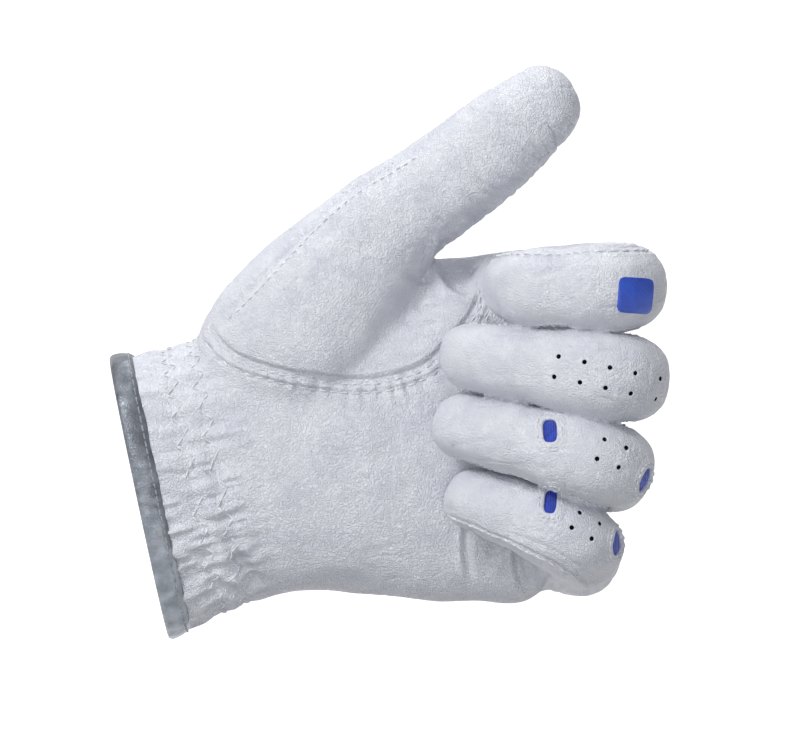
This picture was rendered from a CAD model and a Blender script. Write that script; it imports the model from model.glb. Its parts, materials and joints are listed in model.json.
"""White leather golf glove for the left hand, closed in a fist with the thumb up.

The leather is one surface, modelled over the shape of the hand inside it, then cut where the fingers bend.
Lengths are millimetres, and meshes are written in metres.
"""
import itertools
import json
import logging
import math
from dataclasses import dataclass, field
from enum import IntEnum

import bpy
import numpy as np
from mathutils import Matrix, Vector
from mathutils.bvhtree import BVHTree

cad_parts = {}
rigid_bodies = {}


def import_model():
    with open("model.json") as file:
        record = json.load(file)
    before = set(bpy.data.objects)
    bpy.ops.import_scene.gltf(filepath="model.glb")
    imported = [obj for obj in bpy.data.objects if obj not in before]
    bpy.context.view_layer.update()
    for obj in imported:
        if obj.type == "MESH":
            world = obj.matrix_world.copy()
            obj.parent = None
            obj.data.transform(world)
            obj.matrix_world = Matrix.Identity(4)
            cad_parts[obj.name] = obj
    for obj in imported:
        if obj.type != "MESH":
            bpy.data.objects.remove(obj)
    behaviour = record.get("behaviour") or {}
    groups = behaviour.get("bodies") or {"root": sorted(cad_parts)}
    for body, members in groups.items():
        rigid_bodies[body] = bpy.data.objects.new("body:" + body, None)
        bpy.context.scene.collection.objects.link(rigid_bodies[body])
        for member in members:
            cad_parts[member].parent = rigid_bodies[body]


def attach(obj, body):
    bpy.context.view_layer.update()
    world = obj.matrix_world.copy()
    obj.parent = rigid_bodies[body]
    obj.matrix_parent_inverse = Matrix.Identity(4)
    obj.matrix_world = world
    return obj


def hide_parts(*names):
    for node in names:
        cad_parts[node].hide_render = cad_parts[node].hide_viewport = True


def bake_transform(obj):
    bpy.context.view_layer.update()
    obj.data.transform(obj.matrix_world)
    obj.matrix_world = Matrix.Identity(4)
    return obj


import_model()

log = logging.getLogger("glove")
MM = 0.001
BACKWARD = np.array([0.0, 1.0, 0.0])
# the wrist rises towards the fingers by this much, in degrees
CUFF_TILT = math.radians(12)
CUFF_AHEAD = np.array([math.cos(CUFF_TILT), 0, math.sin(CUFF_TILT)])
CUFF_ACROSS = -np.cross(BACKWARD, CUFF_AHEAD)
# how squarely a limb's section is rounded, 2 being an ellipse
ROUND = 2.3
# how far in front of the palm or behind the back to look at the leather from
FAR = 90.0
# points measured at a time
CHUNK = 20000


# ---- numbers


def unit(v: np.ndarray) -> np.ndarray:
    """Vectors of length one, along the last axis."""
    return v / np.maximum(np.linalg.norm(v, axis=-1, keepdims=True), 1e-12)


def smooth(x: np.ndarray, low: float, high: float) -> np.ndarray:
    """A smooth step from 0 at low to 1 at high."""
    t = np.clip((np.asarray(x, float) - low) / (high - low), 0, 1)
    return t * t * (3 - 2 * t)


def bell(x: np.ndarray, width: float) -> np.ndarray:
    """A bell of height one about zero, whose width is its standard deviation."""
    return np.exp(-0.5 * (np.asarray(x, float) / width) ** 2)


def through(table: np.ndarray, count: int) -> np.ndarray:
    """Points on a smooth curve through the rows of a table.

    Args:
        table: rows of numbers, evenly weighted.
        count: how many points to return.

    Returns:
        The points, from the first row to the last.
    """
    rows = np.asarray(table, float)
    padded = np.vstack([2 * rows[0] - rows[1], rows, 2 * rows[-1] - rows[-2]])
    place = np.linspace(0, len(rows) - 1 - 1e-9, count)
    i = place.astype(int)
    t = (place - i)[:, None]
    a, b, c, d = (padded[i + k] for k in range(4))
    return 0.5 * (2 * b + (c - a) * t + (2 * a - 5 * b + 4 * c - d) * t**2 + (3 * b - a - 3 * c + d) * t**3)


def run_along(places: np.ndarray) -> np.ndarray:
    """How far along a line of places each of them is."""
    return np.concatenate([[0], np.cumsum(np.linalg.norm(np.diff(places, axis=0), axis=1))])


class Noise:
    """Smooth random values in space, the same on each run."""

    SIZE = 48

    def __init__(self, seed: int) -> None:
        """Fill the lattice from a seed."""
        self.lattice = np.random.default_rng(seed).random((self.SIZE,) * 3) * 2 - 1

    def at(self, points: np.ndarray, size: float | tuple[float, float, float]) -> np.ndarray:
        """Values between -1 and 1 at points.

        Args:
            points: places in millimetres.
            size: how far apart the random values are, in millimetres.

        Returns:
            One value a point.
        """
        p = points / np.asarray(size, float)
        base = np.floor(p).astype(int)
        part = p - base
        part = part * part * (3 - 2 * part)
        total = np.zeros(len(p))
        for corner in itertools.product((0, 1), repeat=3):
            near = (base + corner) % self.SIZE
            weight = np.prod(np.where(corner, part, 1 - part), axis=1)
            total += weight * self.lattice[near[:, 0], near[:, 1], near[:, 2]]
        return total


# ---- forms of the hand inside the glove


@dataclass
class Ring:
    """One section of a limb: its centre, the directions across and to the back, and its half sizes."""

    centre: np.ndarray
    across: np.ndarray
    back: np.ndarray
    half_w: float
    to_back: float
    to_front: float
    square: float = 2.35

    def sizes(self) -> tuple[float, float, float]:
        """Half the width, and how far it is from the centre to the back and to the front."""
        return self.half_w, self.to_back, self.to_front

    def point(self, angle: np.ndarray) -> np.ndarray:
        """Points at angles in degrees, 0 across and 90 at the back."""
        c, s = np.cos(np.radians(angle)), np.sin(np.radians(angle))
        x = np.sign(c) * np.abs(c) ** (2 / self.square) * self.half_w
        depth = np.where(s >= 0, self.to_back, self.to_front)
        y = np.sign(s) * np.abs(s) ** (2 / self.square) * depth
        return self.centre + np.multiply.outer(x, self.across) + np.multiply.outer(y, self.back)


def loft(name: str, rings: list[Ring], columns: int = 56) -> bpy.types.Object:
    """A closed body through rings.

    Args:
        name: the object's name.
        rings: sections, first to last.
        columns: points round each section.

    Returns:
        The new object.
    """
    angles = np.arange(columns) * 360 / columns
    points = np.vstack([r.point(angles) for r in rings]) * MM
    faces = [list(range(columns))[::-1], [(len(rings) - 1) * columns + k for k in range(columns)]]
    for i in range(len(rings) - 1):
        for k in range(columns):
            n = (k + 1) % columns
            faces.append([i * columns + k, i * columns + n, (i + 1) * columns + n, (i + 1) * columns + k])
    mesh = bpy.data.meshes.new(name)
    mesh.from_pydata(points.tolist(), [], faces)
    body = bpy.data.objects.new(name, mesh)
    bpy.context.scene.collection.objects.link(body)
    return body


@dataclass
class HandForm:
    """The palm and the back of the hand, from the cuff to the knuckles."""

    # distance, x, z, tilt, half width, depth of the palm, depth of the back
    stations: tuple = (
        (-9, -2, 12, 33.4, 20, 20),
        (0, 0, 12, 33, 20, 20),
        (10, 3, 12, 31.6, 19, 19),
        (20, 6.5, 11, 31.2, 18, 18),
        (33, 10, 10, 32.8, 17.4, 16.8),
        (50, 13.3, 8, 36.8, 16.4, 15.4),
        (66, 15, 4, 39.6, 15, 14.4),
        (78, 15.8, 0, 40.6, 13.8, 13.6),
        (88, 15.6, -4, 41, 12.2, 12.4),
        (95, 15.6, -7, 40.2, 10.6, 11.2),
        (101, 15.9, -9, 36.6, 8.4, 9.4),
    )

    def rings(self) -> list[Ring]:
        """Sections along the hand."""
        out = []
        for x, z, tilt, w, front, back in through(np.array(self.stations), 60):
            a = math.radians(tilt)
            across = np.array([-math.sin(a), 0, math.cos(a)])
            out.append(Ring(np.array([x, 0, z]), across, BACKWARD, w, back, front, ROUND))
        return out

    def _spot(self, s: np.ndarray, turn: np.ndarray) -> np.ndarray:
        """Places on the form at distances from the cuff and angles in degrees."""
        rows = through(np.array(self.stations), 60)
        run = rows[:, 0] * math.cos(CUFF_TILT) + rows[:, 1] * math.sin(CUFF_TILT)
        x, z, tilt, w, front, back = (np.interp(s, run, rows[:, k]) for k in range(6))
        c, d = np.cos(np.radians(turn)), np.sin(np.radians(turn))
        out = np.sign(c) * np.abs(c) ** (2 / ROUND) * w
        deep = np.sign(d) * np.abs(d) ** (2 / ROUND) * np.where(d >= 0, back, front)
        a = np.radians(tilt)
        return np.column_stack([x - np.sin(a) * out, deep, z + np.cos(a) * out])

    def place(self, s: np.ndarray, turn: np.ndarray, lift: np.ndarray | float) -> np.ndarray:
        """Places above the form.

        Args:
            s: distances from the cuff.
            turn: angles in degrees, 0 up and 90 at the back.
            lift: how far above it.

        Returns:
            The places.
        """
        s, turn = np.asarray(s, float), np.asarray(turn, float)
        round_it = self._spot(s, turn + 1) - self._spot(s, turn - 1)
        along = self._spot(s + 0.5, turn) - self._spot(s - 0.5, turn)
        return self._spot(s, turn) + unit(np.cross(along, round_it)) * np.asarray(lift, float).reshape(-1, 1)


@dataclass
class ThumbForm:
    """The ball of the thumb and the thumb, along one curve."""

    # x, y, z, half width, half depth
    stations: tuple = (
        (22, -2, 22, 15, 12),
        (31, -4.5, 33, 19, 15.5),
        (40, -6, 44, 18.6, 16),
        (49, -6.8, 54.5, 16, 14.4),
        (57, -7, 63.4, 13.4, 12.6),
        (66, -6.5, 70.2, 12.2, 11.4),
        (76, -6, 77.4, 11.8, 10.9),
        (85.5, -5.5, 85.2, 11, 10.2),
        (92.8, -5, 91.4, 9.4, 9.2),
    )
    end_r: float = 8.6
    square: float = 2.15

    def spine(self) -> np.ndarray:
        """Centres and sizes along the thumb."""
        return through(np.array(self.stations), 60)

    def rings(self) -> list[Ring]:
        """Sections along the thumb, closed by a round end."""
        rows = self.spine()
        run = unit(np.gradient(rows[:, :3], axis=0))
        out = []
        for row, d in zip(rows, run):
            across = unit(np.cross(d, BACKWARD))
            out.append(Ring(row[:3], across, unit(np.cross(across, d)), row[3], row[4], row[4], self.square))
        last, d = rows[-1], run[-1]
        across = unit(np.cross(d, BACKWARD))
        for turn in np.radians([*range(10, 82, 8), 84, 87.5, 89.6]):
            k = math.cos(turn) ** 0.85
            centre = last[:3] + d * self.end_r * math.sin(turn)
            wide, deep = last[3] * k, last[4] * k
            out.append(Ring(centre, across, unit(np.cross(across, d)), wide, deep, deep, self.square))
        return out


@dataclass
class FingerForm:
    """One finger: three bones bent in a plane that falls and leans."""

    name: str
    corner: tuple[float, float, float]
    fall: float
    lean: float
    bones: tuple[float, float, float]
    bends: tuple[float, float, float]
    # half widths at the root, middle knuckle, end joint and tip
    widths: tuple[float, float, float, float]
    reaches: tuple[float, float, float] = (11, 5, 4.5)
    root_r: float = 10.0
    knuckle_r: float = 8.0
    joint_r: float = 9.0
    knuckle_swell: float = 1.6
    # length of the stretch that runs into the hand
    lead: float = 34.0
    # angles of the stitched seams round it, 0 on the thumb's side and 90 at its back
    seams: tuple[float, float] = (4, 176)

    def __post_init__(self) -> None:
        """Set the finger's own directions and its corners."""
        a, t = math.radians(self.fall), math.radians(self.lean)
        self.out = np.array([math.cos(a), 0, -math.sin(a)])
        side = np.array([math.sin(a), 0, math.cos(a)])
        self.inward = -math.cos(t) * BACKWARD + math.sin(t) * side
        self.across = math.cos(t) * side + math.sin(t) * BACKWARD
        start = np.array(self.corner, float)
        self.corners = [start]
        for bone, bend in zip(self.bones, self.bends):
            self.corners.append(self.corners[-1] + bone * self.ahead(bend))

    def ahead(self, bend: float) -> np.ndarray:
        """The direction of a bone at a bend, in degrees."""
        return math.cos(math.radians(bend)) * self.out + math.sin(math.radians(bend)) * self.inward

    def back(self, bend: float) -> np.ndarray:
        """The direction out of the back of a bone."""
        return math.sin(math.radians(bend)) * self.out - math.cos(math.radians(bend)) * self.inward

    def _ring(self, centre: np.ndarray, bend: float, w: float, up: float, down: float) -> Ring:
        """A section of the finger."""
        return Ring(centre, self.across, self.back(bend), w, up, down, ROUND)

    def rings(self) -> list[Ring]:
        """Sections from inside the hand to the fingertip."""
        w0, w1, w2, w3 = self.widths
        stops = [(0.0, self.bends[0], self.root_r, w0, 10.4, 9.6, 1.2),
                 (self.bends[0], self.bends[1], self.knuckle_r, w1, 9.2, 7.6, self.knuckle_swell),
                 (self.bends[1], self.bends[2], self.joint_r, w2, 8.2, 7.5, 0.5)]
        out = []
        root = self.corners[0] - 10 * self.out
        for t in np.linspace(0, 1, 12, endpoint=False):
            centre = root - self.out * self.lead * (1 - t)
            out.append(self._ring(centre, 0.0, w0 * (0.45 + 0.55 * t**0.7), 6.5 + 3.9 * t, 5 + 3.5 * t))
        for corner, (b0, b1, r, w, up, down, swell) in zip(self.corners, stops):
            hub = corner - self.back((b0 + b1) / 2) * r / math.cos(math.radians((b1 - b0) / 2))
            for k in range(13):
                t = k / 12
                bend = b0 + (b1 - b0) * t
                lift = swell * math.sin(math.pi * t)
                out.append(self._ring(hub + r * self.back(bend), bend, w + 0.25 * lift, up + lift, down))
        end, bend = self.corners[3], self.bends[2]
        for turn in np.radians([0, 14, 26, 38, 48, 58, 67, 75, 82, 87, 89.6]):
            k = math.cos(turn) ** 0.9
            centre = end + self.ahead(bend) * w3 * math.sin(turn)
            out.append(self._ring(centre, bend, w3 * k, (w3 - 0.2) * k, (w3 - 0.5) * k))
        return self._filled(out)

    def _filled(self, rings: list[Ring], step: float = 1.6) -> list[Ring]:
        """The same sections with more of them along the straight stretches."""
        out = [rings[0]]
        for a, b in itertools.pairwise(rings):
            n = max(1, int(np.linalg.norm(b.centre - a.centre) / step))
            for k in range(1, n + 1):
                t = k / n
                t3 = t * t * (3 - 2 * t)
                back = unit(a.back + (b.back - a.back) * t)
                sizes = [p + (q - p) * t3 for p, q in zip(a.sizes(), b.sizes())]
                out.append(Ring(a.centre + (b.centre - a.centre) * t, a.across, back, *sizes, a.square))
        return out


FINGERS = (
    FingerForm("index", (110.5, 0, 49.9), 0, -2, (43, 21.2, 12.8), (88, 190, 250), (9.4, 9.5, 8.7, 8.0),
               reaches=(11, 5, 3), seams=(30, 176)),
    FingerForm("middle", (111.5, 0, 28.4), 7.5, -1, (45, 27.2, 16), (88, 200, 224), (9.6, 9.6, 8.4, 7.6)),
    FingerForm("ring", (107.5, 0, 5.8), 16, 3, (42, 25, 16), (88, 198, 221), (9.5, 9.3, 8.1, 7.5)),
    FingerForm("little", (99.6, -1, -14.7), 25, 9, (34, 19, 11.5), (88, 198, 218), (8.6, 8.9, 8.0, 7.3),
               reaches=(9, 3.5, 3), seams=(4, 152)),
)


class Limb(IntEnum):
    """What a point of the leather belongs to."""

    HAND = 0
    THUMB = 1
    INDEX = 2
    MIDDLE = 3
    RING = 4
    LITTLE = 5


# ---- the leather, as one surface


class Skin:
    """The outer face of the leather: points in millimetres and faces of four or three corners."""

    def __init__(self, verts: np.ndarray, faces: list[tuple[int, ...]]) -> None:
        """Keep the points and the faces."""
        self.verts = verts
        self.faces = faces
        quads = np.array([f if len(f) == 4 else (*f, f[-1]) for f in faces])
        self.quads = quads
        ends = np.vstack([quads[:, [k, (k + 1) % 4]] for k in range(4)])
        self.ends = ends[ends[:, 0] != ends[:, 1]]
        self.degree = np.maximum(np.bincount(self.ends.ravel(), minlength=len(verts)), 1)

    @classmethod
    def over(cls, bodies: list[bpy.types.Object], voxel: float) -> "Skin":
        """One closed surface over several bodies.

        Args:
            bodies: the bodies, which are used up.
            voxel: size of the new faces, in millimetres.

        Returns:
            The surface.
        """
        for body in bpy.context.view_layer.objects:
            body.select_set(body in bodies)
        bpy.context.view_layer.objects.active = bodies[0]
        bpy.ops.object.join()
        remesh = bodies[0].modifiers.new("union", "REMESH")
        remesh.mode = "VOXEL"
        remesh.voxel_size = voxel * MM
        graph = bpy.context.evaluated_depsgraph_get()
        mesh = bpy.data.meshes.new_from_object(bodies[0].evaluated_get(graph))
        verts = np.empty(len(mesh.vertices) * 3)
        mesh.vertices.foreach_get("co", verts)
        skin = cls(verts.reshape(-1, 3) / MM, [tuple(p.vertices) for p in mesh.polygons])
        bpy.data.objects.remove(bodies[0])
        bpy.data.meshes.remove(mesh)
        return skin

    def normals(self) -> np.ndarray:
        """The outward direction at each point."""
        a, b, c, d = (self.verts[self.quads[:, k]] for k in range(4))
        n = np.cross(c - a, d - b)
        out = np.zeros_like(self.verts)
        for k in range(3):
            out[:, k] = sum(np.bincount(self.quads[:, j], n[:, k], len(self.verts)) for j in range(4))
        return unit(out)

    def spread(self, values: np.ndarray) -> np.ndarray:
        """Each point's value replaced by the mean of its neighbours' values."""
        a, b = self.ends[:, 0], self.ends[:, 1]
        total = np.bincount(a, values[b], len(values)) + np.bincount(b, values[a], len(values))
        return total / self.degree

    def relax(self, rounds: int, weight: np.ndarray | float = 1.0) -> None:
        """Even the surface out.

        Args:
            rounds: how many times.
            weight: how much, from 0 to 1, at each point.
        """
        for step in range(rounds):
            for amount in (0.6, -0.61):
                mean = np.column_stack([self.spread(self.verts[:, k]) for k in range(3)])
                self.verts += (mean - self.verts) * (amount * np.asarray(weight, float).reshape(-1, 1))

    def melt(self, rounds: int, weight: np.ndarray) -> None:
        """Round the surface off where weight is above 0, letting it shrink there."""
        hot = np.flatnonzero(weight > 0.01)
        place = np.full(len(self.verts), -1)
        place[hot] = np.arange(len(hot))
        pairs = np.vstack([self.ends, self.ends[:, ::-1]])
        pairs = pairs[place[pairs[:, 0]] >= 0]
        to = place[pairs[:, 0]]
        amount = (0.5 * weight[hot])[:, None]
        for step in range(rounds):
            total = np.column_stack([np.bincount(to, self.verts[pairs[:, 1], k], len(hot)) for k in range(3)])
            mean = total / self.degree[hot][:, None]
            self.verts[hot] += (mean - self.verts[hot]) * amount

    def push(self, depth: np.ndarray) -> None:
        """Move each point out of the surface by its depth."""
        self.verts += self.normals() * depth[:, None]

    def tree(self) -> BVHTree:
        """A tree to find places on the surface with."""
        return BVHTree.FromPolygons(self.verts.tolist(), self.faces)


@dataclass
class Track:
    """A line along the surface, given by places seen from the palm, with x and z."""

    points: tuple[tuple[float, float], ...]
    count: int = 240

    def line(self) -> np.ndarray:
        """Places along the line."""
        return through(np.array(self.points, float), self.count)

    def length(self) -> np.ndarray:
        """How far along the line each of its places is."""
        return run_along(self.line())

    def near(self, flat: np.ndarray) -> tuple[np.ndarray, np.ndarray, np.ndarray]:
        """Where points lie beside the line.

        Args:
            flat: x and z of each point.

        Returns:
            The distance along, the signed distance beside it (positive on its left), and the distance to it.
        """
        line, run = self.line(), self.length()
        index = np.zeros(len(flat), int)
        for start in range(0, len(flat), CHUNK):
            part = flat[start:start + CHUNK]
            gap = (part**2).sum(1)[:, None] - 2 * part @ line.T + (line**2).sum(1)[None, :]
            index[start:start + CHUNK] = gap.argmin(1)
        ahead = unit(np.gradient(line, axis=0))[index]
        off = flat - line[index]
        along = run[index] + (off * ahead).sum(1)
        beside = ahead[:, 0] * off[:, 1] - ahead[:, 1] * off[:, 0]
        return along, beside, np.linalg.norm(off, axis=1)

    def at(self, along: np.ndarray, beside: float | np.ndarray = 0.0) -> np.ndarray:
        """Places at distances along the line and beside it."""
        line, run = self.line(), self.length()
        ahead = unit(np.gradient(line, axis=0))
        p = np.column_stack([np.interp(along, run, line[:, k]) for k in range(2)])
        d = unit(np.column_stack([np.interp(along, run, ahead[:, k]) for k in range(2)]))
        return p + np.column_stack([-d[:, 1], d[:, 0]]) * np.asarray(beside, float).reshape(-1, 1)


class LimbField:
    """Where points lie on a limb: distance along it, and the angle round it."""

    def __init__(self, rings: list[Ring], points: np.ndarray) -> None:
        """Measure points against a limb.

        Args:
            rings: the limb's sections.
            points: places in millimetres.
        """
        centres = np.array([r.centre for r in rings])
        run = run_along(centres)
        index = np.zeros(len(points), int)
        for start in range(0, len(points), CHUNK):
            part = points[start:start + CHUNK]
            gap = -2 * part @ centres.T + (centres**2).sum(1)[None, :]
            index[start:start + CHUNK] = gap.argmin(1)
        across, back = (np.array([getattr(r, name) for r in rings])[index] for name in ("across", "back"))
        half, up, down = (np.array([getattr(r, name) for r in rings])[index]
                          for name in ("half_w", "to_back", "to_front"))
        off = points - centres[index]
        self.side = (off * across).sum(1)
        self.high = (off * back).sum(1)
        self.along = run[index] + (off * np.cross(back, across)).sum(1)
        deep = np.where(self.high >= 0, up, down)
        self.fill = ((np.abs(self.side) / half) ** ROUND + (np.abs(self.high) / deep) ** ROUND) ** (1 / ROUND)
        self.angle = np.degrees(np.arctan2(self.high / deep, self.side / half))


@dataclass
class Bend:
    """A stretch of leather that turns with a joint: the planes where it starts and ends to turn."""

    start: np.ndarray
    end: np.ndarray

    def past_start(self, points: np.ndarray) -> np.ndarray:
        """Whether points lie past the first plane."""
        return (points - self.start) @ (self.end - self.start) > 0


def finger_bends(form: FingerForm) -> list[Bend]:
    """The stretches that bend at a finger's three joints."""
    bends = [0.0, *form.bends]
    return [Bend(form.corners[k] - form.reaches[k] * form.ahead(bends[k]),
                 form.corners[k] + form.reaches[k] * form.ahead(bends[k + 1])) for k in range(3)]


THUMB_BENDS = (
    Bend(np.array([59.5, -6.0, 64.4]), np.array([66.4, -6.0, 74.8])),
    Bend(np.array([75.5, -5.5, 76.0]), np.array([86.5, -5.5, 84.6])),
)


# ---- seams, creases and gathers in the leather

# The edge of the leather over the ball of the thumb, from the cuff side to the web.
THUMB_SEAM = Track(((16.6, 41.2), (17.8, 37.6), (22.5, 33.4), (30, 30.8), (40, 28.8), (50, 27.9), (58, 28.8),
                    (64.6, 31.2),
                    (69.4, 35.2), (74, 40.4), (77.4, 46.2), (78, 50.5)))
# The seam that closes the thumb along its upper outline.
TOP_SEAM = Track(((18.8, 41.6), (24, 46.4), (31, 53.8), (38, 61.2), (45, 67.8), (51, 72.4), (57, 75.9),
                  (64, 80.4)))
# The rolled edge of the web between the thumb and the index finger.
WEB_EDGE = Track(((69.6, 60.4), (68, 57.6), (67.6, 54), (69, 50.6), (72, 47.4), (76.2, 45.6)))

# The narrow strip of leather sewn between the web and the index finger.
WEB_STRIP = Track(((77.2, 50.4), (78.3, 46.6), (78.2, 42.6), (76.6, 39.4)))


@dataclass
class Crease:
    """A fold in the leather along a line."""

    track: Track
    depth: float
    width: float
    lip: float = 0.35

    def depth_at(self, flat: np.ndarray) -> np.ndarray:
        """How far each point is pushed by the fold, fading out at the fold's ends."""
        out = np.zeros(len(flat))
        line, margin = self.track.line(), 6 * self.width
        close = ((flat > line.min(0) - margin) & (flat < line.max(0) + margin)).all(1)
        along, _, gap = self.track.near(flat[close])
        total = self.track.length()[-1]
        fade = smooth(along, 0, 0.35 * total) * (1 - smooth(along, 0.65 * total, total))
        hollow = -self.depth * bell(gap, self.width)
        edge = self.lip * self.depth * (bell(gap - 2.2 * self.width, self.width))
        out[close] = fade * (hollow + edge)
        return out


PALM_CREASES = (
    Crease(Track(((18.5, -8), (21.5, -13), (25.5, -18.5), (29, -23.5))), 1.5, 1.2),
    Crease(Track(((14, -19), (18.5, -20.5), (25, -23.5))), 0.9, 0.8),
    Crease(Track(((12, -26.5), (19, -25), (27, -25.5))), 0.8, 0.8),
    Crease(Track(((8, -12), (15, -13.5), (21, -13))), 0.7, 0.9),
    Crease(Track(((36, -20), (45, -19.5), (54, -21.5))), 0.35, 1.6),
    Crease(Track(((62, 46), (66, 43.5), (71, 44))), 0.7, 0.8),
    Crease(Track(((59, 42), (64, 39.5), (70.5, 40.8))), 0.5, 0.7),
    Crease(Track(((55, 37), (61, 35.2), (67, 36.4))), 0.4, 0.7),
    Crease(Track(((60, 52), (64.5, 50.5), (68, 51.6))), 0.55, 0.7),
    Crease(Track(((76.6, -2), (75.4, -8), (75.4, -14), (77, -21))), 1.0, 0.75),
    Crease(Track(((88.2, -7), (87, -13), (88, -19), (91, -24.5))), 1.1, 0.7),
    Crease(Track(((97, -13), (93.5, -18), (92, -24))), 0.7, 0.5),
    Crease(Track(((99, -15.5), (95.6, -20), (93.8, -25))), 0.6, 0.45),
    Crease(Track(((100.6, -18), (97.5, -21.5), (95.8, -25))), 0.6, 0.45),
    Crease(Track(((80, -6), (81.5, -12), (80.5, -19))), 0.35, 0.9),
)


@dataclass
class Gathers:
    """The wrist, gathered by an elastic under two columns of zigzag stitches."""

    rows: tuple[float, float] = (12.0, 18.0)
    swing: float = 1.7
    pitch: float = 6.0
    # distances round the wrist are measured at this radius
    wrist_r: float = 27.0
    noise: Noise = field(default_factory=lambda: Noise(7))

    def depth_at(self, points: np.ndarray) -> np.ndarray:
        """How far the wrist's leather is pushed in or out by its gathers."""
        along = points @ CUFF_AHEAD
        angle = np.arctan2(points[:, 1], points @ CUFF_ACROSS) * self.wrist_r
        flat = np.column_stack([along, angle, angle * 0])
        broad, small = flat + [0, 0, 5.5], flat + [9, 0, 15.5]
        ridges = self.noise.at(broad, (8.5, 2.5, 1)) + 0.6 * self.noise.at(small, (5.0, 1.4, 1))
        ridges = np.sign(ridges) * np.abs(ridges) ** 0.8
        reach = smooth(along, -1, 5) * (1 - smooth(along, 17, 31))
        low = 1 + 0.7 * smooth(-points[:, 2], -5, 25)
        puffs = sum(bell(along - row, 1.5) for row in self.rows)
        between = bell(along - 15, 1.6) + bell(along - 8.2, 2) + 0.7 * bell(along - 22, 2.4)
        return reach * low * (0.8 * ridges) - 0.42 * puffs * reach + 0.34 * between * reach

    def zigzag(self, form: HandForm, row: float) -> list[np.ndarray]:
        """The places of a zigzag column round the wrist, one short line for each stitch."""
        turns = np.arange(182, 542, math.degrees(self.pitch / 2 / self.wrist_r))
        swings = row + self.swing * np.where(np.arange(len(turns)) % 2, 1, -1)
        spots = form.place(swings, turns, 0.0)
        lines = []
        for a, b in itertools.pairwise(spots):
            for k in range(2):
                lines.append(np.array([a + (b - a) * (k / 2 + 0.03), a + (b - a) * (k / 2 + 0.47)]))
        return lines


@dataclass
class FingerLook:
    """The seams and creases along one finger."""

    form: FingerForm
    noise_seed: int = 3

    def joints_at(self) -> list[float]:
        """How far along the finger its three knuckles are."""
        rings = self.form.rings()
        centres = np.array([r.centre for r in rings])
        run = run_along(centres)
        return [float(run[np.linalg.norm(centres - c, axis=1).argmin()]) for c in self.form.corners]

    def depth_at(self, at: LimbField, points: np.ndarray) -> np.ndarray:
        """How far each point of the finger is pushed by its seams and creases."""
        root, knuckle, joint, tip = self.joints_at()
        noise = Noise(self.noise_seed)
        flat = np.column_stack([at.along, at.angle * 0.16, at.angle * 0])
        live = smooth(at.along, root + 4, root + 9) * (1 - smooth(at.along, tip + 1, tip + 5))
        total = np.zeros(len(points))
        for side in self.form.seams:
            side += 5 if side < 90 else -5
            gap = (at.angle - side) * 0.16
            wave = 0.35 * noise.at(flat + [3, 0, side], (5, 50, 50))
            off = gap - wave
            total += live * (-0.42 * bell(off, 0.32) + 0.2 * bell(off - 1.0, 0.5) + 0.16
                             * bell(off + 1.0, 0.5))
        front = smooth(-at.angle, -10, 25)
        for place, count, deep, gap in ((knuckle, 5, 0.26, 2.1), (joint, 4, 0.22, 1.6)):
            for k in range(count):
                wander = 0.9 * noise.at(flat + [k * 4.0, 1.5, place], (30, 4.5, 50))
                bent = place + (k - (count - 1) / 2) * gap + wander
                strength = deep * (0.55 + 0.45 * noise.at(flat + [k * 9.0, 7, 2], (40, 5, 50)))
                total -= strength * bell(at.along - bent, 0.32) * (0.35 + 0.65 * front)
        total += live * 0.24 * noise.at(points, 5.5) + live * 0.1 * noise.at(points + 40, 2.2)
        # crumpled leather outside the seams, and slack folds that run at a slant over the back
        turned = np.abs(at.angle - 90) - 90
        edge = -self.form.seams[0] if self.form.seams[0] > 10 else 0
        outside = smooth(turned, edge - 2, edge + 8) * (1 - smooth(turned, edge + 22, edge + 42))
        ridge = 1 - np.abs(noise.at(flat + [5, 2, 60], (7.5, 1.5, 1)))
        total += live * outside * (0.75 * (ridge**3 - 0.45))
        round_it = at.angle * 0.16 - 0.25 * at.along
        slant = np.column_stack([at.along + 0.09 * at.angle, round_it, at.angle * 0 + 80])
        fold = np.clip(1 - np.abs(noise.at(slant, (11, 5.5, 1))) / 0.13, 0, 1)
        total -= live * 0.3 * fold * smooth(noise.at(points + 90, 10), -0.15, 0.4)
        return total

    def seam(self, side: float, low: float, high: float, pitch: float = 2.3) -> list[np.ndarray]:
        """Stitches along one of the finger's seams.

        Args:
            side: the angle round the finger.
            low: where they start, along the finger.
            high: where they end.
            pitch: how far apart they are.

        Returns:
            The two ends of each stitch.
        """
        rings = self.form.rings()
        centres = np.array([r.centre for r in rings])
        run = run_along(centres)
        path = np.array([r.point(np.array([side]))[0] for r in rings])
        lines = []
        for a in np.arange(low, high, pitch):
            ends = [[np.interp(t, run, path[:, k]) for k in range(3)] for t in (a, a + pitch * 0.72)]
            lines.append(np.array(ends))
        return lines


@dataclass
class Perforations:
    """Rows of air holes punched through the back of a finger."""

    start: tuple[float, float]
    turn: float
    pitch: float
    columns: int
    apart: float

    def places(self) -> list[tuple[float, float]]:
        """x and z of each hole."""
        a = math.radians(self.turn)
        ahead, beside = np.array([math.cos(a), math.sin(a)]), np.array([-math.sin(a), math.cos(a)])
        return [tuple(np.array(self.start) + k * self.pitch * ahead + side * self.apart / 2 * beside)
                for k in range(self.columns) for side in (1, -1)]


HOLES = (
    Perforations((95.6, 30.3), -12.3, 6.0, 5, 4.8),
    Perforations((105.8, 11.4), -21.5, 5.4, 2, 4.8),
    Perforations((100.2, -5.0), -29.0, 5.3, 2, 3.9),
)


# ---- making meshes


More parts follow.
